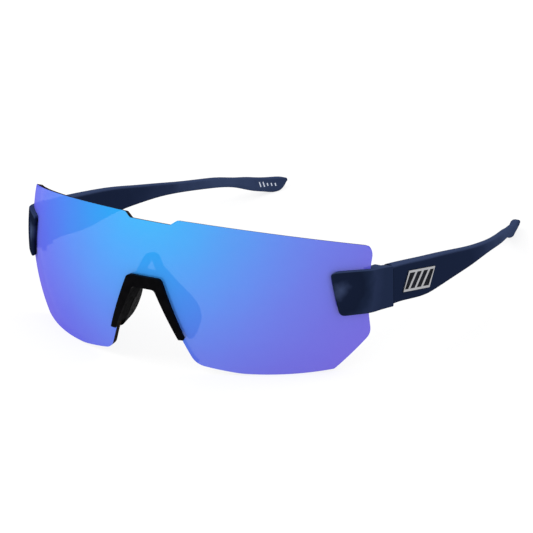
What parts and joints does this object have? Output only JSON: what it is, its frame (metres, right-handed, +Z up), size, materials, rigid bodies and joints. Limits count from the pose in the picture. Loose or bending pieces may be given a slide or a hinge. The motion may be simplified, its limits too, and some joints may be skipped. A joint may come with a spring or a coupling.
{
  "type": "wraparound sport sunglasses",
  "caption": "Wraparound sport sunglasses with a rimless blue-violet mirror shield lens, black nose clip with soft pads, navy end pieces and folding temples with silver badges.",
  "frame": {"origin": "on the table, under the centre of the glasses' bounding box, temples open", "axes": "+Z up from the table; +Y from the lens towards the temple tips; +X towards the wearer's left"},
  "size_m": [0.1428, 0.1806, 0.054],
  "materials": {
    "lens_coating": "blue to violet mirror coating on a tinted polycarbonate lens",
    "clip_plastic": "moulded black, smooth",
    "pad_rubber": "soft matt elastomer",
    "frame_navy": "satin injection-moulded nylon",
    "clamp_plastic": "moulded black-blue, matt",
    "screw_steel": "stainless, machined",
    "bush_nylon": "natural nylon",
    "nut_brass": "turned brass insert",
    "badge_metal": "bright plated rim and bars",
    "badge_enamel": "black filling"
  },
  "bodies": {
    "front": {"lens": "lens_coating", "nose_clip": "clip_plastic", "left_nose_pad": "pad_rubber", "left_end_piece": "frame_navy", "left_clamp_plate": "clamp_plastic", "left_lens_bushes": "bush_nylon", "left_clamp_screws": "screw_steel", "left_hinge_screw": "screw_steel", "left_hinge_nut": "nut_brass", "right_nose_pad": "pad_rubber", "right_end_piece": "frame_navy", "right_clamp_plate": "clamp_plastic", "right_lens_bushes": "bush_nylon", "right_clamp_screws": "screw_steel", "right_hinge_screw": "screw_steel", "right_hinge_nut": "nut_brass"},
    "left_temple_arm": {"left_temple": "frame_navy", "left_badge_frame": "badge_metal", "left_badge_infill": "badge_enamel"},
    "right_temple_arm": {"right_temple": "frame_navy", "right_badge_frame": "badge_metal", "right_badge_infill": "badge_enamel"}
  },
  "joints": [
    {"name": "left_temple_fold", "type": "hinge", "parent": "front", "child": "left_temple_arm", "pos_m": [0.0666, -0.04174, 0.027], "axis": [0, 0, 1], "range_deg": [0, 86]},
    {"name": "right_temple_fold", "type": "hinge", "parent": "front", "child": "right_temple_arm", "pos_m": [-0.0666, -0.04174, 0.027], "axis": [0, 0, -1], "range_deg": [0, 80]}
  ]
}
